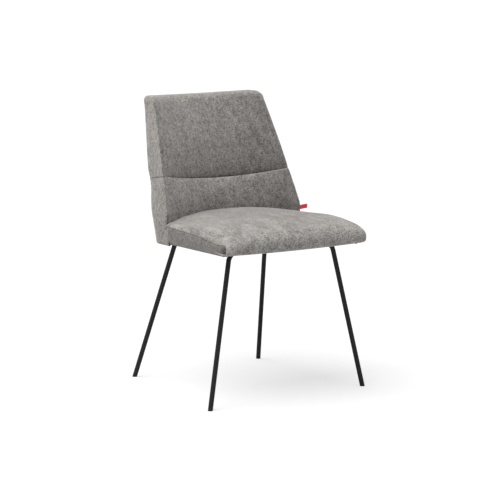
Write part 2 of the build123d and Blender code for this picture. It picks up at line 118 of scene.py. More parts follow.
shade = add_node(coat_group, "ShaderNodeVectorMath",
                 {0: coat_in.outputs["Base"], "Scale": tone.outputs[0]}, operation="SCALE")
rub = add_node(coat_group, "ShaderNodeMath", {0: smear.outputs["Fac"], 1: 0.5}, operation="SUBTRACT")
rub = add_node(coat_group, "ShaderNodeMath",
               {0: rub.outputs[0], 1: coat_in.outputs["Roughness Change"], 2: coat_in.outputs["Roughness"]},
               operation="MULTIPLY_ADD")
skin = add_node(coat_group, "ShaderNodeMath",
                {0: speck.outputs["Fac"], 1: 0.3, 2: peel.outputs["Fac"]}, operation="MULTIPLY_ADD")
coat_group.links.new(shade.outputs[0], coat_out.inputs["Color"])
coat_group.links.new(rub.outputs[0], coat_out.inputs["Roughness"])
coat_group.links.new(skin.outputs[0], coat_out.inputs["Height"])


def coated_material(name, finish, values, strength, distance):
    material, tree, shader, place = new_material(name, finish)
    coat = place_group(tree, coat_group, values, place)
    tree.links.new(coat.outputs["Color"], shader.inputs["Base Color"])
    tree.links.new(coat.outputs["Roughness"], shader.inputs["Roughness"])
    raise_surface(tree, shader, coat.outputs["Height"], strength, distance)
    return material


powder_coat = coated_material(
    "powder_coat_black", {"Metallic": 0.0, "IOR": 1.4, "Specular IOR Level": 0.35},
    {"Base": (0.018, 0.0175, 0.0185, 1), "Peel Scale": 700.0, "Speck Scale": 2600.0, "Tone Change": 0.35,
     "Roughness": 0.44, "Roughness Change": 0.16}, 0.25, 0.0004)
for node in ("front_leg_frame", "rear_leg_frame"):
    dress(node, powder_coat)

# Glides: a moulded cap pushed over each tube end, in black polypropylene with a fine spark grain.
glide_plastic = coated_material(
    "glide_polypropylene", {"IOR": 1.49},
    {"Base": (0.011, 0.011, 0.012, 1), "Peel Scale": 2200.0, "Speck Scale": 5200.0, "Tone Change": 0.5,
     "Roughness": 0.55, "Roughness Change": 0.25}, 0.3, 0.0003)
for side in ("front_left", "front_right", "rear_left", "rear_right"):
    dress("glide_" + side, glide_plastic)

# Rails and welds: two flat steel bars welded across the leg frames, bolted up into the seat base.
# Bars are coated with the frames; the weld beads show their ripples through the paint.
rail_coat = coated_material(
    "powder_coat_rail", {"Metallic": 0.0, "IOR": 1.5, "Coat Weight": 0.1, "Coat Roughness": 0.35},
    {"Base": (0.017, 0.0165, 0.0175, 1), "Peel Scale": 650.0, "Speck Scale": 2400.0, "Tone Change": 0.4,
     "Roughness": 0.46, "Roughness Change": 0.18}, 0.3, 0.0004)
weld_coat = coated_material(
    "powder_coat_weld", {"Metallic": 0.0, "IOR": 1.5},
    {"Base": (0.018, 0.0175, 0.018, 1), "Peel Scale": 420.0, "Speck Scale": 1500.0, "Tone Change": 0.6,
     "Roughness": 0.5, "Roughness Change": 0.2}, 0.7, 0.0008)
dress("rail_left", rail_coat)
dress("rail_right", rail_coat)
dress("weld_beads", weld_coat)

# Fixings: bolts, washers and tee nuts for the rails, brackets, bolts and screws for the back, and staples.
# All are steel with a bright zinc plating, dulled a little and with a crystalline mottle.
zinc = coated_material(
    "zinc_plated_steel", {"Metallic": 1.0},
    {"Base": (0.62, 0.63, 0.64, 1), "Peel Scale": 520.0, "Speck Scale": 2600.0, "Tone Change": 0.45,
     "Roughness": 0.34, "Roughness Change": 0.3}, 0.2, 0.0002)
for node in ("frame_bolts", "frame_washers", "tee_nuts", "staples", "bracket_screws", "bracket_bolts",
             "back_bracket_left", "back_bracket_right"):
    dress(node, zinc)

# Seat base and back shell: the base is a flat board of 12 mm birch plywood, the shell a pressed one of 8 mm.
# Both are left bare, with long grain on the faces, since cloth and foam hide them.
grain_group, grain_in, grain_out = effect_group(
    "Wood grain",
    [("Vector", "NodeSocketVector", None), ("Light Wood", "NodeSocketColor", (0.6, 0.42, 0.25, 1)),
     ("Dark Wood", "NodeSocketColor", (0.4, 0.26, 0.14, 1)), ("Stretch", "NodeSocketVector", (8.0, 60.0, 60.0))],
    [("Color", "NodeSocketColor"), ("Roughness", "NodeSocketFloat"), ("Height", "NodeSocketFloat")])
along = add_node(grain_group, "ShaderNodeVectorMath",
                 {0: grain_in.outputs["Vector"], 1: grain_in.outputs["Stretch"]}, operation="MULTIPLY")
figure = add_node(grain_group, "ShaderNodeTexNoise",
                  {"Vector": along.outputs[0], "Scale": 1.0, "Detail": 6.0, "Roughness": 0.6, "Distortion": 0.8})
pores = add_node(grain_group, "ShaderNodeTexNoise",
                 {"Vector": along.outputs[0], "Scale": 9.0, "Detail": 2.0})
wood = add_node(grain_group, "ShaderNodeMix",
                {0: figure.outputs["Fac"], 6: grain_in.outputs["Light Wood"], 7: grain_in.outputs["Dark Wood"]},
                data_type="RGBA")
dull = add_node(grain_group, "ShaderNodeMath", {0: pores.outputs["Fac"], 1: 0.2, 2: 0.5},
                operation="MULTIPLY_ADD")
grain_group.links.new(wood.outputs[2], grain_out.inputs["Color"])
grain_group.links.new(dull.outputs[0], grain_out.inputs["Roughness"])
grain_group.links.new(pores.outputs["Fac"], grain_out.inputs["Height"])


def wood_material(name, stretch):
    material, tree, shader, place = new_material(name, {"IOR": 1.5})
    face = place_group(tree, grain_group, {"Stretch": stretch}, place)
    tree.links.new(face.outputs["Color"], shader.inputs["Base Color"])
    tree.links.new(face.outputs["Roughness"], shader.inputs["Roughness"])
    raise_surface(tree, shader, face.outputs["Height"], 0.3, 0.0004)
    return material


dress("seat_base", wood_material("birch_plywood_base", (60.0, 7.0, 60.0)))
dress("back_shell", wood_material("birch_plywood_shell", (60.0, 60.0, 7.0)))

# Dust cloth: a sheet of black nonwoven polypropylene stapled under the seat base.
# It sags a little between the staples, and its thermal bonding leaves a fine pattern of dots.


def surface_mesh(name, points, faces, material, inside):
    mesh = bpy.data.meshes.new(name)
    mesh.from_pydata([tuple(p) for p in points], [], [tuple(int(i) for i in f) for f in faces])
    mesh.update()
    outward = sum((f.center - Vector(inside)).dot(f.normal) * f.area for f in mesh.polygons)
    if outward < 0:
        mesh.flip_normals()
    for f in mesh.polygons:
        f.use_smooth = True
    mesh.materials.append(material)
    made = bpy.data.objects.new(name, mesh)
    bpy.context.scene.collection.objects.link(made)
    return made


def grid_faces(rows, columns, start=0):
    index = np.arange(rows * columns).reshape(rows, columns) + start
    return np.stack([index[:-1, :-1], index[:-1, 1:], index[1:, 1:], index[1:, :-1]], -1).reshape(-1, 4)


def grid_mesh(name, points, material, inside):
    return surface_mesh(name, points.reshape(-1, 3), grid_faces(*points.shape[:2]), material, inside)


def use_modifier(piece, kind, **settings):
    modifier = piece.modifiers.new(kind.title(), kind)
    for key, value in settings.items():
        setattr(modifier, key, value)
    bpy.context.view_layer.update()
    shown = bpy.data.meshes.new_from_object(piece.evaluated_get(bpy.context.evaluated_depsgraph_get()))
    piece.modifiers.remove(modifier)
    piece.data = shown
    for f in shown.polygons:
        f.use_smooth = True


def belongs(piece, slot, *nodes):
    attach(piece, "root")
    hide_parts(*nodes)
    return piece


cloth_low, cloth_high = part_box("dust_cloth")
cloth_width, cloth_length = cloth_high.x - cloth_low.x, cloth_high.y - cloth_low.y
cloth_thickness = 0.0006
cloth_sag = 0.0025
across, down = np.meshgrid(np.linspace(0, 1, 60), np.linspace(0, 1, 52))
swing = np.sin(math.pi * across) * np.sin(math.pi * down)
ripple = np.array([[noise.noise(Vector((a * 9, b * 8, 0.3))) for a, b in zip(ra, rb)]
                   for ra, rb in zip(across, down)])
corner = 0.012
ax, dy = (across - 0.5) * cloth_width, (down - 0.5) * cloth_length
reach_x = np.maximum(np.abs(ax) - (cloth_width / 2 - corner), 0) / corner
reach_y = np.maximum(np.abs(dy) - (cloth_length / 2 - corner), 0) / corner
ax = ax - np.sign(ax) * corner * reach_x * (1 - np.sqrt(1 - reach_y ** 2 / 2))
dy = dy - np.sign(dy) * corner * reach_y * (1 - np.sqrt(1 - reach_x ** 2 / 2))
under = cloth_high.z - 0.0002 - cloth_sag * swing ** 0.7 * (1 + 0.5 * ripple)
dust_points = np.stack([(cloth_low.x + cloth_high.x) / 2 + ax, (cloth_low.y + cloth_high.y) / 2 + dy, under], -1)
bond_group, bond_in, bond_out = effect_group(
    "Bonded fibres",
    [("Vector", "NodeSocketVector", None), ("Base", "NodeSocketColor", (0.02, 0.02, 0.02, 1)),
     ("Dot Scale", "NodeSocketFloat", 700.0)],
    [("Color", "NodeSocketColor"), ("Roughness", "NodeSocketFloat"), ("Height", "NodeSocketFloat")])
dots = add_node(bond_group, "ShaderNodeTexVoronoi",
                {"Vector": bond_in.outputs["Vector"], "Scale": bond_in.outputs["Dot Scale"], "Randomness": 0.25})
hair = add_node(bond_group, "ShaderNodeTexNoise",
                {"Vector": bond_in.outputs["Vector"], "Scale": 420.0, "Detail": 6.0, "Roughness": 0.75})
mat_tone = add_node(bond_group, "ShaderNodeMath", {0: hair.outputs["Fac"], 1: 1.1, 2: 0.45},
                    operation="MULTIPLY_ADD")
mat_shade = add_node(bond_group, "ShaderNodeVectorMath",
                     {0: bond_in.outputs["Base"], "Scale": mat_tone.outputs[0]}, operation="SCALE")
mat_rough = add_node(bond_group, "ShaderNodeMath", {0: hair.outputs["Fac"], 1: 0.2, 2: 0.7},
                     operation="MULTIPLY_ADD")
bond_group.links.new(mat_shade.outputs[0], bond_out.inputs["Color"])
bond_group.links.new(mat_rough.outputs[0], bond_out.inputs["Roughness"])
bond_group.links.new(dots.outputs["Distance"], bond_out.inputs["Height"])
nonwoven, tree, shader, place = new_material("nonwoven_black", {"Sheen Weight": 0.15, "Sheen Roughness": 0.5})
fibres = place_group(tree, bond_group, {"Base": (0.021, 0.021, 0.022, 1)}, place)
tree.links.new(fibres.outputs["Color"], shader.inputs["Base Color"])
tree.links.new(fibres.outputs["Roughness"], shader.inputs["Roughness"])
raise_surface(tree, shader, fibres.outputs["Height"], 0.4, 0.0005)
dust_sheet = grid_mesh("dust_sheet", dust_points, nonwoven, (0, -0.05, 0.6))
use_modifier(dust_sheet, "SOLIDIFY", thickness=cloth_thickness, offset=-1)
belongs(dust_sheet, "dust_cloth", "dust_cloth")

# Seat top cover: one piece of brushed chenille from the back, over the top and the nose, to under the base.
# It is pulled over a foam block that is crowned across, and stapled under the plywood.
seat_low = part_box("seat_top_cover")[0]
rim = seat_low.z
nose_y = seat_low.y - 0.003
seat_half = 0.2405
side_round = 0.030
crown_rise = 0.086
front_rise = 0.066
shoulder = 0.046
nose_rise = 0.024
lean = math.tan(math.radians(17.3))
back_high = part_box("back_rear_cover")[1]
back_top = back_high.z
crown_z = rim + crown_rise
wing_low_half, wing_crown_half, wing_top_half = back_high.x, 0.2375, 0.1925


def ease(t):
    t = np.clip(t, 0, 1)
    return t * t * (3 - 2 * t)


def bezier(a, b, c, d, t):
    return a * (1 - t) ** 3 + 3 * b * t * (1 - t) ** 2 + 3 * c * t * t * (1 - t) + d * t ** 3


def back_half(z):
    return np.interp(z, [rim, crown_z, back_top], [wing_low_half, wing_crown_half, wing_top_half])


def rear_middle(z):
    return back_high.y - 0.0006 - (back_top - 0.020 - z) * lean


def wing_edge(z):
    level = np.maximum(z, crown_z)
    share = (level - crown_z) / (back_top - crown_z)
    depth = 0.104 - 0.038 * share + 0.006 * np.sin(math.pi * np.clip(share, 0, 1)) ** 0.8
    toe = np.interp(z, [rim, rim + 0.014, rim + 0.036], [0.013, 0.006, 0.0])
    return rear_middle(level) - 0.0345 - depth - toe


def front_middle(z):
    level = np.maximum(z, crown_z)
    return rear_middle(level) - np.interp(level, [crown_z, crown_z + 0.084, back_top], [0.093, 0.085, 0.046])


def front_face(x, z):
    s = np.clip(np.abs(x) / back_half(z), 0, 1.05)
    return front_middle(z) - (front_middle(z) - wing_edge(z)) * s ** 2.2


def rear_face(x, z):
    s = np.clip(np.abs(x) / back_half(z), 0, 1.05)
    return rear_middle(z) - 0.0345 * s ** 2


def seat_line(flat, turn, x, t):
    """The side view of the seat top at a place across it, from the back (t 0) to under the rim (t 5)."""
    end_y = front_face(x, crown_z) + 0.006
    tip = nose_y + 0.001 * flat ** 2 + 0.018 * turn
    top_y = tip + shoulder
    rear_z = crown_z - 0.001 - 0.021 * flat ** 2.5 - 0.012 * turn
    top_z = rim + front_rise - 0.006 * flat ** 2.5 - 0.030 * turn
    nose_z = rim + nose_rise - 0.003 * turn
    foot = rim + 0.0004 + 0.0026 * flat ** 2
    swell = (0.004 + 0.006 * flat ** 2) * (1 - 0.7 * turn) * np.sin(math.pi * np.clip(t, 0, 1) ** 1.5)
    dip = 0.004 * (1 - ease((t * (end_y - top_y)) / 0.018))
    y = np.select(
        [t <= 1, t <= 2, t <= 3, t <= 4],
        [end_y + (top_y - end_y) * t,
         bezier(top_y, top_y - 0.022, tip, tip, t - 1),
         bezier(tip, tip - 0.001, tip + 0.003, tip + 0.024, t - 2),
         tip + 0.024 + 0.030 * (t - 3)],
        tip + 0.054)
    z = np.select(
        [t <= 1, t <= 2, t <= 3, t <= 4],
        [rear_z + (top_z - rear_z) * t + swell,
         bezier(top_z, top_z - 0.003, nose_z + 0.020, nose_z, t - 1),
         bezier(nose_z, foot + 0.0066, foot + 0.0002, foot, t - 2),
         foot + (rim + 0.0095 - foot) * (t - 3)],
        rim + 0.0095)
    return y, z - np.where(t <= 1, dip, 0)


def seat_across(u):
    """Across the seat: x, how far over the flat part, and how far round the edge, for u from -1 to 1."""
    a = np.abs(u)
    angle = np.clip((a - 0.8) / 0.2, 0, 1) * math.pi / 2
    flat = np.clip(a / 0.8, 0, 1)
    return np.sign(u) * (flat * (seat_half - side_round) + side_round * np.sin(angle)), flat, 1 - np.cos(angle)


def seat_points(u, t):
    x, flat, turn = seat_across(u)
    y, z = seat_line(flat, turn, x, t)
    return np.stack([x, y, z], -1)


pile_group, pile_in, pile_out = effect_group(
    "Chenille pile",
    [("Vector", "NodeSocketVector", None), ("Base", "NodeSocketColor", (0.25, 0.24, 0.23, 1)),
     ("Fibre Direction", "NodeSocketVector", (0.4, 1.0, 1.0)), ("Cloud", "NodeSocketFloat", 0.3),
     ("Mottle", "NodeSocketFloat", 0.5), ("Grain", "NodeSocketFloat", 0.6), ("Fibre", "NodeSocketFloat", 0.4)],
    [("Color", "NodeSocketColor"), ("Roughness", "NodeSocketFloat"), ("Height", "NodeSocketFloat")])


def pile_layer(scale, detail, rough, vector, amount, carried):
    layer = add_node(pile_group, "ShaderNodeTexNoise",
                     {"Vector": vector, "Scale": scale, "Detail": detail, "Roughness": rough})
    level = add_node(pile_group, "ShaderNodeMath", {0: layer.outputs["Fac"], 1: 0.5}, operation="SUBTRACT")
    level = add_node(pile_group, "ShaderNodeMath", {0: level.outputs[0], 1: amount, 2: carried},
                     operation="MULTIPLY_ADD")
    return layer.outputs["Fac"], level.outputs[0]


spot = pile_in.outputs["Vector"]
brushed = add_node(pile_group, "ShaderNodeVectorMath", {0: spot, 1: pile_in.outputs["Fibre Direction"]},
                   operation="MULTIPLY").outputs[0]
_, level = pile_layer(30.0, 3.0, 0.5, brushed, pile_in.outputs["Cloud"], 1.0)
_, level = pile_layer(110.0, 2.0, 0.55, brushed, pile_in.outputs["Mottle"], level)
strands, level = pile_layer(420.0, 3.0, 0.65, brushed, pile_in.outputs["Fibre"], level)
knots, level = pile_layer(240.0, 4.0, 0.75, spot, pile_in.outputs["Grain"], level)
loops = add_node(pile_group, "ShaderNodeTexVoronoi", {"Vector": brushed, "Scale": 520.0, "Randomness": 1.0})
level = add_node(pile_group, "ShaderNodeMath", {0: level, 1: 0.35}, operation="MAXIMUM").outputs[0]
tinted = add_node(pile_group, "ShaderNodeVectorMath", {0: pile_in.outputs["Base"], "Scale": level},
                  operation="SCALE").outputs[0]
tall = add_node(pile_group, "ShaderNodeMath", {0: loops.outputs["Distance"], 1: -0.8, 2: strands},
                operation="MULTIPLY_ADD").outputs[0]
tall = add_node(pile_group, "ShaderNodeMath", {0: knots, 1: 0.8, 2: tall}, operation="MULTIPLY_ADD").outputs[0]
mat_end = add_node(pile_group, "ShaderNodeMath", {0: knots, 1: 0.15, 2: 0.8}, operation="MULTIPLY_ADD").outputs[0]
pile_group.links.new(tinted, pile_out.inputs["Color"])
pile_group.links.new(mat_end, pile_out.inputs["Roughness"])
pile_group.links.new(tall, pile_out.inputs["Height"])


def chenille(name, base, direction, cloud=0.5, mottle=1.1, grain=3.5, fibre=1.0, painted_sheen=0.0):
    """The more painted sheen, the darker the colour is painted where the surface faces the eye and the lighter at its
    edges.
    """
    material, tree, shader, place = new_material(
        name, {"Sheen Weight": 0.9, "Sheen Roughness": 0.35, "Sheen Tint": (1.0, 0.965, 0.93, 1),
               "Specular IOR Level": 0.15})
    pile = place_group(tree, pile_group, {"Base": (*base, 1), "Fibre Direction": direction, "Cloud": cloud,
                                          "Mottle": mottle, "Grain": grain, "Fibre": fibre}, place)
    # Painted sheen and shade: the base colour is scaled by how far the surface turns from the eye, darker head-on and
    # lighter at grazing edges.
    turned = add_node(tree, "ShaderNodeLayerWeight", {"Blend": 0.5})
    face = add_node(tree, "ShaderNodeMath", {0: turned.outputs["Facing"], 1: 0.36}, operation="MINIMUM")
    lift = add_node(tree, "ShaderNodeMath", {0: face.outputs[0], 1: painted_sheen, 2: 1 - 0.25 * painted_sheen}, operation="MULTIPLY_ADD")
    edge = add_node(tree, "ShaderNodeMath", {0: turned.outputs["Facing"], 1: 0.6}, operation="MAXIMUM")
    lift = add_node(tree, "ShaderNodeMath", {0: edge.outputs[0], 1: painted_sheen, 2: lift.outputs[0]}, operation="MULTIPLY_ADD")
    lift = add_node(tree, "ShaderNodeMath", {0: lift.outputs[0], 1: 0.6 * painted_sheen}, operation="SUBTRACT")
    shade = add_node(tree, "ShaderNodeVectorMath", {0: pile.outputs["Color"], "Scale": lift.outputs[0]},
                     operation="SCALE")
    tree.links.new(shade.outputs[0], shader.inputs["Base Color"])
    tree.links.new(pile.outputs["Roughness"], shader.inputs["Roughness"])
    raise_surface(tree, shader, pile.outputs["Height"], 0.55, 0.0012)
    return material


def swell(piece, pressure, most, held, stiffness=12.0):
    """Stuffs the piece: its border and what is glued down stay, and the cloth between is blown up a little."""
    mesh = piece.data
    before = np.array([v.co for v in mesh.vertices])
    used = {}
    for f in mesh.polygons:
        for key in f.edge_keys:
            used[key] = used.get(key, 0) + 1
    border = {v for key, count in used.items() if count == 1 for v in key}
    border |= {v.index for v in mesh.vertices if held(v.co, v.normal)}
    piece.vertex_groups.new(name="sewn").add(sorted(border), 1.0, "REPLACE")
    cloth = piece.modifiers.new("Cloth", "CLOTH")
    cloth.settings.quality = 5
    cloth.settings.mass = 0.3
    cloth.settings.tension_stiffness = stiffness
    cloth.settings.compression_stiffness = stiffness
    cloth.settings.shear_stiffness = 4.0
    cloth.settings.bending_stiffness = 1.0
    cloth.settings.use_pressure = True
    cloth.settings.uniform_pressure_force = pressure
    cloth.settings.vertex_group_mass = "sewn"
    cloth.settings.effector_weights.gravity = 0.0
    cloth.collision_settings.use_collision = False
    cloth.point_cache.frame_start, cloth.point_cache.frame_end = 1, 20
    for step in range(1, 21):
        bpy.context.scene.frame_set(step)
    shown = piece.evaluated_get(bpy.context.evaluated_depsgraph_get()).data
    after = np.array([v.co for v in shown.vertices])
    piece.modifiers.remove(cloth)
    piece.vertex_groups.clear()
    bpy.context.scene.frame_set(1)
    move = after - before
    length = np.linalg.norm(move, axis=1, keepdims=True)
    move *= np.minimum(1, most / np.maximum(length, 1e-9))
    mesh.vertices.foreach_set("co", (before + move).astype(np.float32).ravel())
    mesh.update()


def pucker(piece, depth, reach, size):
    """Draws small gathers into the cloth beside its sewn border."""
    mesh = piece.data
    used = {}
    for f in mesh.polygons:
        for key in f.edge_keys:
            used[key] = used.get(key, 0) + 1
    border = sorted({v for key, count in used.items() if count == 1 for v in key})
    where = np.array([v.co for v in mesh.vertices])
    edge = where[border]
    for v in mesh.vertices:
        gap = np.sqrt(((edge - where[v.index]) ** 2).sum(1).min())
        if gap < reach:
            wave = noise.noise(v.co / size) + 0.5 * noise.noise(v.co * 2.1 / size + Vector((3, 1, 2)))
            fade = (1 - gap / reach) ** 1.5 * min(1, gap / 0.004 + 0.35)
            v.co += v.normal * depth * wave * fade
    mesh.update()


def turn_in(piece, radius, depth, hem):
    """Rolls the border down into the seam, as a sewn edge does, except the hem below a level."""
    bm = bmesh.new()
    bm.from_mesh(piece.data)
    bm.normal_update()
    edges = [e for e in bm.edges if e.is_boundary and any(v.co.z > hem for v in e.verts)]
    outward, facing = {}, {}
    for e in edges:
        f = e.link_faces[0]
        side = (e.verts[1].co - e.verts[0].co).cross(f.normal).normalized()
        if side.dot((e.verts[0].co + e.verts[1].co) / 2 - f.calc_center_median()) < 0:
            side = -side
        for v in e.verts:
            outward[v] = outward.get(v, Vector()) + side
            facing[v] = v.normal.copy()
    chain = {v: (v.co - outward[v].normalized() * radius, outward[v].normalized(), facing[v]) for v in outward}
    for v, (start, _, _) in chain.items():
        v.co = start
    for out, fall in ((0.6, 0.2), (0.95, 0.65), (1.0, 1.0 + depth / radius)):
        grown = bmesh.ops.extrude_edge_only(bm, edges=edges)["geom"]
        edges = [g for g in grown if isinstance(g, bmesh.types.BMEdge)]
        later = {}
        for v in (g for g in grown if isinstance(g, bmesh.types.BMVert)):
            for e in v.link_edges:
                if e.other_vert(v) in chain:
                    start, side, face = later[v] = chain[e.other_vert(v)]
                    v.co = start + side * radius * out - face * radius * fall
        chain = later
    bm.to_mesh(piece.data)
    bm.free()
    for f in piece.data.polygons:
        f.use_smooth = True


def turn_under(piece, hem, radius, width, lift):
    """Turns the lowest border of the cover under the rim, and in and up towards the wood."""
    bm = bmesh.new()
    bm.from_mesh(piece.data)
    bm.normal_update()
    edges = [e for e in bm.edges if e.is_boundary and all(v.co.z < hem for v in e.verts)]
    chain = {}
    for v in {v for e in edges for v in e.verts}:
        inward = Vector((-v.normal.x, -v.normal.y, 0)).normalized()
        chain[v] = (v.co.copy(), inward)
    steps = [(radius * (1 - math.cos(a)), radius * math.sin(a)) for a in (0.4, 0.8, 1.2, math.pi / 2)]
    steps += [(radius + width * 0.35, radius - lift * 0.2), (radius + width, radius - lift)]
    for step_in, step_down in steps:
        grown = bmesh.ops.extrude_edge_only(bm, edges=edges)["geom"]
        edges = [g for g in grown if isinstance(g, bmesh.types.BMEdge)]
        later = {}
        for v in (g for g in grown if isinstance(g, bmesh.types.BMVert)):
            for e in v.link_edges:
                if e.other_vert(v) in chain:
                    start, inward = later[v] = chain[e.other_vert(v)]
                    v.co = start + inward * step_in - Vector((0, 0, step_down))
        chain = later
    bm.faces.ensure_lookup_table()
    facing = bm.faces[0].normal.copy()
    bmesh.ops.recalc_face_normals(bm, faces=bm.faces)
    if bm.faces[0].normal.dot(facing) < 0:
        bmesh.ops.reverse_faces(bm, faces=bm.faces)
    bm.to_mesh(piece.data)
    bm.free()


def upholster(piece, pressure, most, held, gather=0.0007, radius=0.0016, depth=0.004, hem=0.0, under=None):
    swell(piece, pressure, most, held)
    pucker(piece, gather, 0.020, 0.011)
    if under:
        turn_under(piece, hem, *under)
    turn_in(piece, radius, depth, hem)
    use_modifier(piece, "SUBSURF", levels=1, render_levels=1)
    use_modifier(piece, "SOLIDIFY", thickness=0.0014, offset=-1)


seat_cloth = chenille("chenille_seat", (0.315, 0.299, 0.283), (0.8, 0.35, 0.9),
                      cloud=1.0, mottle=1.1, grain=3.4)
u_lines = np.concatenate([np.linspace(-1, -0.8, 9)[:-1], np.linspace(-0.8, 0.8, 59), np.linspace(0.8, 1, 9)[1:]])
t_lines = np.concatenate([np.linspace(0, 0.08, 6)[:-1], np.linspace(0.08, 1, 36)[:-1], np.linspace(1, 2, 11)[:-1],
                          np.linspace(2, 3, 8)[:-1], np.linspace(3, 4, 3)])
u_grid, t_grid = np.meshgrid(u_lines, t_lines)
seat_top = grid_mesh("seat_cushion", seat_points(u_grid, t_grid), seat_cloth, (0, -0.1, rim + 0.02))
upholster(seat_top, 3.0, 0.004, lambda co, normal: normal.z < 0.9, radius=0.0024, depth=0.005,
          hem=rim + 0.011)
belongs(seat_top, "seat_fabric", "seat_top_cover", "seat_foam")

# Seat sides: a boxing strip of the same chenille on each side, sewn along its top to the seat cover, with its colour
# painted darker than the seat's as painted shade.
# It runs from inside the wing to the nose, where it narrows to nothing, and turns under the base.
side_lines = np.concatenate([np.linspace(0.0, 1.0, 34)[:-1], np.linspace(1, 2, 9)[:-1], np.linspace(2, 2.4, 4)])
up_lines = np.linspace(0, 1, 9)
hem_round = 0.004
side_rim = rim - 0.0025
# The strip's colour is painted darker than the seat cover's: painted shade on the seat's sides.
boxing_cloth_painted_shade = chenille("chenille_boxing_painted_shade", (0.205, 0.1945, 0.184), (0.6, 0.6, 1.0))
wing_front = wing_edge(rim + 0.04)
strip_inside = 0.020  # how far the strip runs on inside the wing
nose_gap, foot_gap = 0.018, 0.047  # nose back to where the strip starts to widen, and to its foot
for side, label in ((-1, "left"), (1, "right")):
    top_edge = seat_points(np.full_like(side_lines, side * 1.0), side_lines)
    top_edge[:, 1] = np.minimum(top_edge[:, 1], wing_front + strip_inside)
    first = int(np.sum(top_edge[:, 1] >= wing_front + strip_inside - 1e-6)) - 1
    top_edge = top_edge[max(first, 0):]
    up = up_lines[:, None]
    share = np.clip((top_edge[:, 1] - nose_y - nose_gap) / 0.05, 0, 1)[None, :]
    foot_y = np.maximum(top_edge[:, 1], nose_y + foot_gap)
    y = foot_y[None, :] + (top_edge[:, 1] - foot_y)[None, :] * up
    z = side_rim + hem_round + (top_edge[:, 2] - side_rim - hem_round)[None, :] * up
    puff = 0.0030 * np.sin(math.pi * up) * ease(share)
    tuck = 0.014 * (1 - ease((wing_front + 0.012 - y) / 0.014))
    taper = (0.009 + 0.006 * (1 - share) ** 2) * (1 - up) ** 1.3
    x = side * (seat_half + puff - tuck - taper - 0.004 * (1 - ease(share * 3)))
    gusset = grid_mesh("seat_boxing_" + label, np.stack([x, y, z], -1), boxing_cloth_painted_shade, (0, -0.1, rim + 0.02))
    upholster(gusset, 2.0, 0.002, lambda co, normal: co.y > wing_front - 0.01, gather=0.0005, radius=0.0024,
              depth=0.005, hem=side_rim + hem_round + 0.0008, under=(hem_round, 0.010, 0.010))
    belongs(gusset, "seat_fabric", "seat_side_" + label)

# Upper back cover: one panel of chenille that wraps the upper pad, both side walls and the top edge.
# The thick pad rolls down into the cross seam, which sweeps up towards the wings.
corner_in = 0.005
top_round = 0.020


def edge_round(z):
    return np.interp(z, [crown_z, back_top], [0.010, 0.013])


def rear_round(z):
    return np.interp(z, [rim, crown_z + 0.06, crown_z + 0.125, back_top], [0.030, 0.030, 0.017, 0.014])


def edge_at(z, up):
    """The front rounding, which grows from the side walls to the top edge as up goes from 0 to 1."""
    return edge_round(z) + (top_round - edge_round(z)) * ease(up)


def cross_seam(s):
    return crown_z + 0.087 + 0.017 * np.abs(s) ** 2.2


def wall_shift(z, c):
    """The cross seam falls towards the rear on the side walls."""
    near = 1 - ease(np.abs(z - (crown_z + 0.104)) / 0.12)
    return -0.0135 * ease((c - 1 / 6) / (4 / 6)) * near


def back_ring(x_in, z_in, nx, nz, c):
    """The edge of the back, round from its front (c 0) over the wall (1/3 to 2/3) to its rear (c 1)."""
    e = edge_at(z_in, nz)
    x_out, z_out = x_in + nx * e, z_in + nz * e
    front_in = front_face(x_in, z_in)
    step = 0.002
    slope = (front_face(x_in + nx * step, z_in + nz * step) - front_in) / step
    tip = front_face(x_out, z_out)
    wall_a = tip + 0.85 * e
    rear_edge = rear_face(x_out, z_out)
    r = rear_round(z_in)
    wall_b = np.maximum(rear_edge - 0.9 * r, wall_a + 0.002)
    x_far, z_far = x_out - nx * r, z_out - nz * r
    rear_in = rear_face(x_far, z_far)
    rear_slope = (rear_in - rear_face(x_far - nx * step, z_far - nz * step)) / step
    t1, t2, t3 = np.clip(c * 3, 0, 1), np.clip(c * 3 - 1, 0, 1), np.clip(c * 3 - 2, 0, 1)
    out = np.where(c < 1 / 3, bezier(0 * e, 0.6 * e, e, e, t1),
                   np.where(c < 2 / 3, e, bezier(e, e, e - 0.45 * r, e - r, t3)))
    y = np.where(c < 1 / 3, bezier(front_in, front_in + 0.6 * e * slope, wall_a - 0.55 * e, wall_a, t1),
                 np.where(c < 2 / 3, wall_a + (wall_b - wall_a) * t2,
                          bezier(wall_b, wall_b + 0.55 * r,
                                 rear_in + 0.55 * r * rear_slope, rear_in, t3)))
    x, z = x_in + nx * out, z_in + nz * out
    pinch = 0.0055 * np.exp(-((z - crown_z - 0.090) / 0.035) ** 2)
    x = x - nx * pinch * np.sin(math.pi * np.clip((c - 1 / 3) * 1.5, 0, 1))
    return np.stack([x, y, z + wall_shift(z, c) * np.abs(nx)], -1)


def face_grid(s, v, z_low, z_top_in, inset):
    """Places across and up one face of the back, with its two top corners rounded: x, z and which way is out."""
    z = z_low + (z_top_in - z_low) * v
    wide = back_half(z) - inset(z)
    x = s * wide
    a = np.clip((np.abs(x) - (wide - corner_in)) / corner_in, 0, 1)
    b = np.clip((z - (z_top_in - corner_in)) / corner_in, 0, 1)
    a2, b2 = a * np.sqrt(1 - b * b / 2), b * np.sqrt(1 - a * a / 2)
    x = x - np.sign(s) * corner_in * (a - a2)
    z = z - corner_in * (b - b2)
    far = np.maximum(np.hypot(a2, b2), 1e-6)
    nx = np.where(b > 0, np.sign(s) * a2 / far, np.sign(s))
    nz = np.where(b > 0, b2 / far, 0)
    return x, z, nx, nz


def top_line(s):
    return back_top - 0.0035 * (1 - np.abs(s) ** 2) + 0.0025 * s


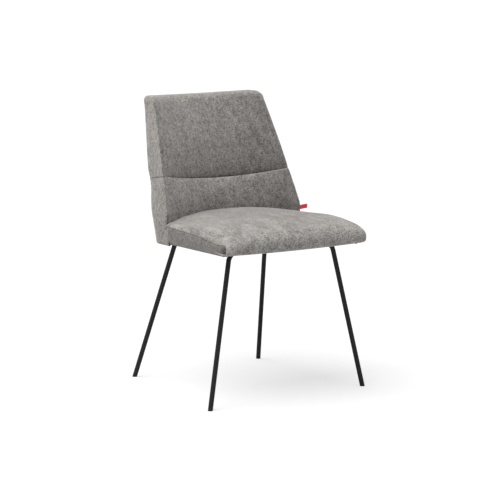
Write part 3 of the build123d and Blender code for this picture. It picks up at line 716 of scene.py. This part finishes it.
def wrapped_panel(name, s_lines, v_lines, c_lines, z_low, inset, top_inset, face, material, inside):
    """One face of the back with the strip that runs on from it round the left edge, the top and the right."""
    s, v = np.meshgrid(s_lines, v_lines)
    x, z, nx, nz = face_grid(s, v, z_low(s), top_line(s) - top_inset, inset)
    rows, columns = s.shape
    points = [np.stack([x, face(x, z), z], -1).reshape(-1, 3)]
    faces = [grid_faces(rows, columns)]
    path = [(i, 0) for i in range(rows)] + [(rows - 1, j) for j in range(1, columns)]
    path += [(i, columns - 1) for i in range(rows - 2, -1, -1)]
    pi, pj = np.array(path).T
    # the strip starts on the face's own border, so its first ring is the face's points
    strip_nx, strip_nz = nx[pi, pj], nz[pi, pj]
    flat_top = (pi == rows - 1) & (np.abs(s[pi, pj]) < 1 - 1e-9) & (strip_nz < 0.999) & (
        np.abs(x[pi, pj]) < back_half(back_top) - inset(back_top) - corner_in)
    strip_nx, strip_nz = np.where(flat_top, 0, strip_nx), np.where(flat_top, 1, strip_nz)
    rings = [pi * columns + pj]
    count = rows * columns
    for c in c_lines[1:]:
        base_x, base_z = x[pi, pj], z[pi, pj]
        if face is rear_face:
            more = rear_round(base_z) - edge_at(base_z, strip_nz)
            base_x, base_z = base_x + strip_nx * more, base_z + strip_nz * more
        ring = back_ring(base_x, base_z, strip_nx, strip_nz, np.full(len(pi), c))
        points.append(ring)
        rings.append(np.arange(len(pi)) + count)
        count += len(pi)
    for inner, outer in zip(rings[:-1], rings[1:]):
        faces.append(np.stack([inner[:-1], inner[1:], outer[1:], outer[:-1]], -1))
    return surface_mesh(name, np.concatenate(points), np.concatenate(faces), material, inside)


def shape_pad(piece, push):
    """Moves every point along its own normal by push(point, normal)."""
    moves = [v.normal * push(v.co, v.normal) for v in piece.data.vertices]
    for v, move in zip(piece.data.vertices, moves):
        v.co += move
    piece.data.update()


def roll(gap, length, depth):
    """How far a pad falls away beside a seam: a quarter round of that length and depth."""
    t = min(max(gap / length, 0), 1)
    return depth * (1 - math.sqrt(max(0, 1 - (1 - t) ** 2)))


def seam_level(co):
    s = abs(co.x) / float(back_half(co.z))
    level = float(cross_seam(min(s, 1)))
    if s > 0.93:
        front, rear = float(wing_edge(co.z)), float(rear_face(co.x, co.z))
        c = 1 / 6 + 4 / 6 * min(max((co.y - front) / max(rear - front, 1e-6), 0), 1)
        level += float(wall_shift(np.array(level), np.array(c)))
    return level


def upper_push(co, normal):
    gap = co.z - seam_level(co)
    facing = min(max(-normal.y * 1.4, 0), 1)
    s = abs(co.x) / float(back_half(co.z))
    fall = roll(gap, 0.020 + 0.045 * facing, 0.002 + 0.014 * facing * (1 - s ** 5))
    swell_up = 0.008 * facing * math.sin(math.pi * min(max(gap / 0.235, 0), 1) ** 0.8) * (1 - s ** 4)
    return swell_up - fall


# The back's covers are painted darker than the seat's chenille as painted shade, and they carry painted sheen: darker
# where they face the eye, lighter at their edges.
back_cloth_painted_shade_sheen = chenille("chenille_back_painted_shade_sheen", (0.272, 0.258, 0.244), (1.0, 1.0, 0.6), painted_sheen=1.3)
corner_share = corner_in / (wing_top_half - 0.013)
s_mid = np.linspace(-1 + corner_share, 1 - corner_share, 57)
s_lines = np.concatenate([np.linspace(-1, -1 + corner_share, 6)[:-1], s_mid,
                          np.linspace(1 - corner_share, 1, 6)[1:]])
v_share = corner_in / (back_top - top_round - crown_z - 0.087)
v_lines = np.concatenate([np.linspace(0, 0.12, 8)[:-1], np.linspace(0.12, 1 - v_share, 27),
                          np.linspace(1 - v_share, 1, 6)[1:]])
c_front = np.linspace(0, 1 / 3, 7)
c_upper = np.concatenate([c_front, np.linspace(1 / 3, 2 / 3, 9)[1:], np.linspace(2 / 3, 5 / 6, 4)[1:]])
upper = wrapped_panel("back_pad_upper", s_lines, v_lines, c_upper, cross_seam, edge_round, top_round,
                      front_face, back_cloth_painted_shade_sheen, (0, 0.2, 0.7))
shape_pad(upper, upper_push)
upholster(upper, 3.0, 0.004, lambda co, normal: normal.y > -0.8 or abs(co.x) > back_half(co.z) - 0.022)
belongs(upper, "back_fabric", "back_upper_cover", "back_foam_upper")

# Wadding: a layer of felt over the back's foam, inside all its covers, as one bag, its colour painted dark as painted
# shade in the seams.
# It shows only deep in the seams.
seam_shade_felt, tree, shader, place = new_material("wadding_painted_as_seam_shade", {"Sheen Weight": 0.2})
# The wadding's dark colour is painted shade for the seams.
fuzz = place_group(tree, bond_group, {"Base": (0.06, 0.057, 0.054, 1), "Dot Scale": 400.0}, place)
tree.links.new(fuzz.outputs["Color"], shader.inputs["Base Color"])
tree.links.new(fuzz.outputs["Roughness"], shader.inputs["Roughness"])
raise_surface(tree, shader, fuzz.outputs["Height"], 0.5, 0.001)


def bag_low(s):
    return np.full_like(s, rim + 0.012)


wadding_bag = wrapped_panel("back_wadding", s_lines[::2], np.linspace(0, 1, 60),
                            np.concatenate([c_front, np.linspace(1 / 3, 2 / 3, 5)[1:], np.linspace(2 / 3, 1, 5)[1:]]),
                            bag_low, edge_round, top_round, front_face, seam_shade_felt, (0, 0.2, 0.65))


def bag_push(co, normal):
    facing = min(max(-normal.y * 1.4, 0), 1)
    gap = co.z - seam_level(co)
    return -0.006 - 0.010 * facing * (1 - ease(abs(gap) / 0.03))


shape_pad(wadding_bag, bag_push)
belongs(wadding_bag, "wadding", "rear_wadding")

# Lower back cover: the lumbar panel between the wings, from the cross seam down behind the seat.
# Its pad is thinner, and it comes straight out from the seam.
rows_z = np.concatenate([np.linspace(0, 0.8, 19)[:-1], np.linspace(0.8, 1, 9)])
lower_s = np.linspace(-1, 1, 61)
lower_low = rim + 0.058


def lower_level(v, s):
    return lower_low + (cross_seam(s) - lower_low) * v


s, v = np.meshgrid(lower_s, rows_z)
z = lower_level(v, s)
x = s * (back_half(z) - edge_round(z))
middle = np.stack([x, front_face(x, z), z], -1)
wings = {}
for side in (-1, 1):
    z1 = lower_level(rows_z, 1.0)[:, None]
    c = np.linspace(0, 1 / 6, 4)[None, 1:]
    z2, c2 = np.broadcast_arrays(z1, c)
    x2 = side * (back_half(z2) - edge_round(z2))
    wings[side] = back_ring(x2, z2, np.full_like(z2, side), np.zeros_like(z2), c2)
lower_points = np.concatenate([wings[-1][:, ::-1], middle, wings[1]], axis=1)


def lower_push(co, normal):
    gap = seam_level(co) - co.z
    s = abs(co.x) / float(back_half(co.z))
    fall = roll(gap, 0.012, 0.004)
    return 0.003 * math.sin(math.pi * min(max(gap / 0.10, 0), 1)) * (1 - s ** 4) - fall * (1 - 0.8 * s ** 5)


lower = grid_mesh("back_pad_lower", lower_points, back_cloth_painted_shade_sheen, (0, 0.2, 0.56))
shape_pad(lower, lower_push)
upholster(lower, 3.0, 0.003, lambda co, normal: abs(co.x) > back_half(co.z) - 0.022)
belongs(lower, "back_fabric", "back_lower_cover", "back_foam_lower")

# Wing covers: one on each side of the lower back, from the lumbar panel's seam round to the rear seam.
# Each hugs the plywood, and turns under at the rim with a small toe forward.
back_rim = rim - 0.006
# The wing cloth's colour is painted darker than the seat cover's chenille, as painted shade.
wing_cloth_painted_shade = chenille("chenille_wing_painted_shade", (0.272, 0.258, 0.244), (1.0, 1.0, 0.6))
wing_c = np.concatenate([np.linspace(1 / 6, 1 / 3, 5)[:-1], np.linspace(1 / 3, 2 / 3, 11),
                         np.linspace(2 / 3, 5 / 6, 4)[1:]])
wing_v = np.concatenate([np.linspace(0, 0.12, 5)[:-1], np.linspace(0.12, 0.86, 20), np.linspace(0.86, 1, 6)[1:]])


def wing_push(co, normal):
    return -roll(seam_level(co) - co.z, 0.018, 0.002) if co.z > crown_z else 0.0


for side, label in ((-1, "left"), (1, "right")):
    low = back_rim + hem_round
    z2, c2 = np.meshgrid(low + (float(cross_seam(1.0)) - low) * wing_v, wing_c, indexing="ij")
    x2 = side * (back_half(z2) - edge_round(z2))
    shell = back_ring(x2, z2, np.full_like(z2, side), np.zeros_like(z2), c2)
    wing = grid_mesh("back_wing_" + label, shell, wing_cloth_painted_shade, (0, 0.17, 0.53))
    shape_pad(wing, wing_push)
    upholster(wing, 2.0, 0.002, lambda co, normal: abs(normal.y) > 0.3, gather=0.0006,
              hem=low + 0.0008, under=(hem_round, 0.016, 0.006))
    belongs(wing, "back_fabric", "wing_cover_" + label)

# Rear cover: a single panel over the rear of the shell, over thin wadding, closed with a hidden zip seam.
# It bows round the shell, and is stapled under the rim.
rear_v = np.concatenate([np.linspace(0, 1 - v_share * 0.6, 52), np.linspace(1 - v_share * 0.6, 1, 6)[1:]])


def rear_low(s):
    return np.full_like(s, back_rim + hem_round)


rear = wrapped_panel("back_rear_panel", s_lines, rear_v, np.linspace(1, 5 / 6, 4), rear_low, rear_round,
                     float(rear_round(back_top)), rear_face, back_cloth_painted_shade_sheen, (0, 0.1, 0.65))
upholster(rear, 2.0, 0.002, lambda co, normal: normal.z > 0.5, hem=back_rim + hem_round + 0.0008,
          under=(hem_round, 0.016, 0.006))
belongs(rear, "back_fabric", "back_rear_cover")

# Label tab: a folded piece of red woven ribbon, sewn into the seam at the foot of the right wing.
# It is left blank.
tab_low, tab_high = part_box("label_tab")
tab_height = tab_high.z - tab_low.z
tab_reach = 0.024
ribbon_thickness = 0.0004
tab_tilt = 0.22
tab_sewn = 0.006
tab_start = Vector((tab_low.x - 0.0025, tab_high.y + 0.0018, 0))
tab_way = Vector((tab_high.x - tab_low.x - 0.0012, -(tab_high.y - tab_low.y - 0.0012), 0)).normalized()
tab_face = Vector((tab_way.y, -tab_way.x, 0))
fold = 0.0005
run = []
for k in range(9):
    run.append((tab_reach * k / 8 * 0.975, fold))
for k in range(1, 7):
    turn = math.pi * k / 7
    run.append((tab_reach * 0.975 + fold * math.sin(turn), fold * math.cos(turn)))
for k in range(8, -1, -1):
    run.append((tab_reach * k / 8 * 0.975, -fold))
tab_points = np.array([[tuple(tab_start + tab_way * a + tab_face * b
                              + Vector((0, 0, tab_low.z + tab_height * h + tab_tilt * (a - tab_sewn))))
                        for a, b in run] for h in np.linspace(0, 1, 7)])
ribbon, tree, shader, place = new_material("ribbon_red", {"Sheen Weight": 0.1, "Specular IOR Level": 0.3})
weave = place_group(tree, bond_group, {"Base": (0.72, 0.06, 0.07, 1), "Dot Scale": 1500.0}, place)
tree.links.new(weave.outputs["Color"], shader.inputs["Base Color"])
tree.links.new(weave.outputs["Roughness"], shader.inputs["Roughness"])
raise_surface(tree, shader, weave.outputs["Height"], 0.4, 0.0003)
tab = grid_mesh("red_tab", tab_points, ribbon, tuple(tab_start + tab_way * 0.012 + Vector((0, 0, tab_low.z))))
use_modifier(tab, "SOLIDIFY", thickness=ribbon_thickness, offset=0)
belongs(tab, "label", "label_tab")

# Setting: a pale floor, soft light from above and the left, and the camera.
floor_paint, tree, shader, place = new_material("pale_floor", {"Roughness": 0.9, "Specular IOR Level": 0.1})
direct = tree.nodes.new("ShaderNodeLightPath")
bounced_grey, seen_grey = (0.6, 0.6, 0.6, 1), (0.38, 0.375, 0.38, 1)
grey = add_node(tree, "ShaderNodeMix", {0: direct.outputs["Is Camera Ray"], 6: bounced_grey, 7: seen_grey},
                data_type="RGBA")
tree.links.new(grey.outputs[2], shader.inputs["Base Color"])
shader.inputs["Emission Color"].default_value = (1, 1, 1, 1)
glow = add_node(tree, "ShaderNodeMath", {0: direct.outputs["Is Camera Ray"], 1: 0.62}, operation="MULTIPLY")
tree.links.new(glow.outputs[0], shader.inputs["Emission Strength"])
floor_mesh = bpy.data.meshes.new("floor")
floor_mesh.from_pydata([(-12, -12, 0), (12, -12, 0), (12, 12, 0), (-12, 12, 0)], [], [(0, 1, 2, 3)])
floor_mesh.materials.append(floor_paint)
floor = bpy.data.objects.new("floor", floor_mesh)
bpy.context.scene.collection.objects.link(floor)

scene = bpy.context.scene
scene.world = scene.world or bpy.data.worlds.new("studio")
scene.world.use_nodes = True
sky = scene.world.node_tree
sky.nodes.clear()
seen = sky.nodes.new("ShaderNodeLightPath")
lit = add_node(sky, "ShaderNodeBackground", {"Color": (0.95, 0.97, 1.0, 1), "Strength": 0.42})
shown = add_node(sky, "ShaderNodeBackground", {"Color": (1, 1, 1, 1), "Strength": 1.05})
chosen = add_node(sky, "ShaderNodeMixShader",
                  {0: seen.outputs["Is Camera Ray"], 1: lit.outputs[0], 2: shown.outputs[0]})
add_node(sky, "ShaderNodeOutputWorld", {"Surface": chosen.outputs[0]})


def sun(name, strength, softness, way, tint=(1, 1, 1)):
    lamp = bpy.data.lights.new(name, "SUN")
    lamp.energy, lamp.angle, lamp.color = strength, math.radians(softness), tint
    made = bpy.data.objects.new(name, lamp)
    made.rotation_mode = "QUATERNION"
    made.rotation_quaternion = Vector(way).to_track_quat("Z", "Y")
    scene.collection.objects.link(made)


sun("key", 2.9, 50, (-0.42, 0.0, 1.0), (1.0, 0.985, 0.965))

target = Vector((0, -0.0345, 0.4137))
azimuth, elevation, distance = math.radians(-34.22), math.radians(8.64), 4.961
away = Vector((math.sin(azimuth) * math.cos(elevation), -math.cos(azimuth) * math.cos(elevation), math.sin(elevation)))
camera = bpy.data.objects.new("camera", bpy.data.cameras.new("camera"))
camera.location = target + away * distance
camera.rotation_mode = "QUATERNION"
camera.rotation_quaternion = (-away).to_track_quat("-Z", "Y")
camera.data.lens, camera.data.sensor_width = 122.59, 36
camera.data.shift_x, camera.data.shift_y = -0.0022, -0.0069
scene.collection.objects.link(camera)
scene.camera = camera
scene.view_settings.view_transform = "Standard"
